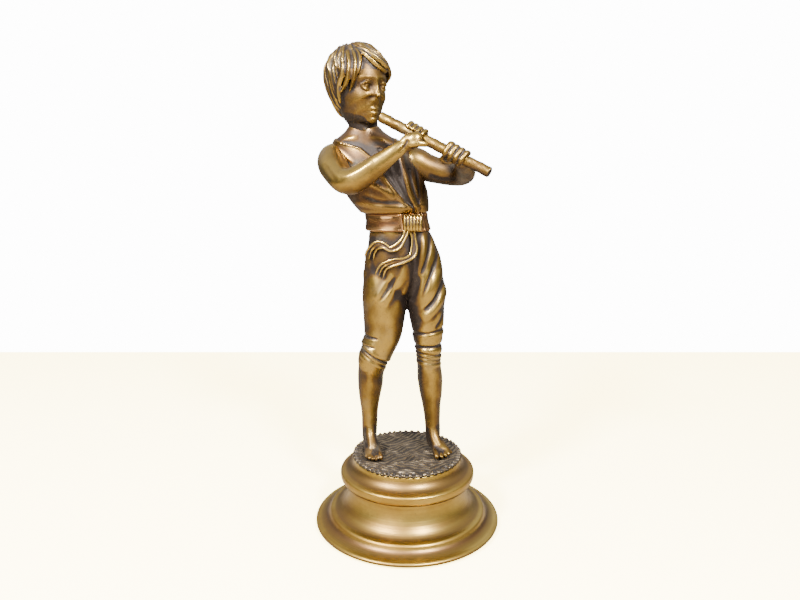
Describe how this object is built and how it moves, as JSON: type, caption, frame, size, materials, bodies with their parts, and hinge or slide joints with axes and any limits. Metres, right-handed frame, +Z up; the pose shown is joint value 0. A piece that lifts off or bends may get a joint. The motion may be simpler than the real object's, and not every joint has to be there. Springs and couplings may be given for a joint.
{
  "type": "bronze figurine",
  "caption": "Cast bronze statuette of a barefoot boy playing a pipe, standing on a round ground plate that is clamped to a stepped, turned bronze base.",
  "frame": {"origin": "centre of the round base's footprint, on the surface it stands on", "axes": "+Z up; the figure faces -Y, and +X is towards the figure's left hand; the pipe points to +X, forward and down"},
  "size_m": [0.1, 0.1, 0.2493],
  "materials": {
    "felt": "dark pressed wool felt",
    "turned_bronze": "satin turned bronze, faint circular brushing, browner in the coves",
    "ground_bronze": "dark patinated bronze with rubbed ridges",
    "figure_bronze": "rubbed golden bronze with near-black patina in the recesses",
    "sash_bronze": "polished bronze with a copper-red tone and dark folds",
    "fastener_steel": "plain machined steel",
    "pin_brass": "drawn brass rod"
  },
  "bodies": {
    "root": {"felt_ring": "felt", "base_foot": "turned_bronze", "base_collar": "turned_bronze", "ground_plate": "ground_bronze", "lower_casting": "figure_bronze", "torso_casting": "figure_bronze", "head_casting": "figure_bronze", "right_arm_casting": "figure_bronze", "left_arm_casting": "figure_bronze", "pipe": "figure_bronze", "sash_band": "sash_bronze", "sash_knot": "sash_bronze", "sash_tail_upper": "sash_bronze", "sash_tail_lower": "sash_bronze", "clamp_stud": "fastener_steel", "clamp_washer": "fastener_steel", "clamp_nut": "fastener_steel", "right_foot_nut": "fastener_steel", "left_foot_nut": "fastener_steel", "waist_pin": "pin_brass", "neck_pin": "pin_brass", "right_shoulder_pin": "pin_brass", "left_shoulder_pin": "pin_brass"}
  },
  "joints": []
}
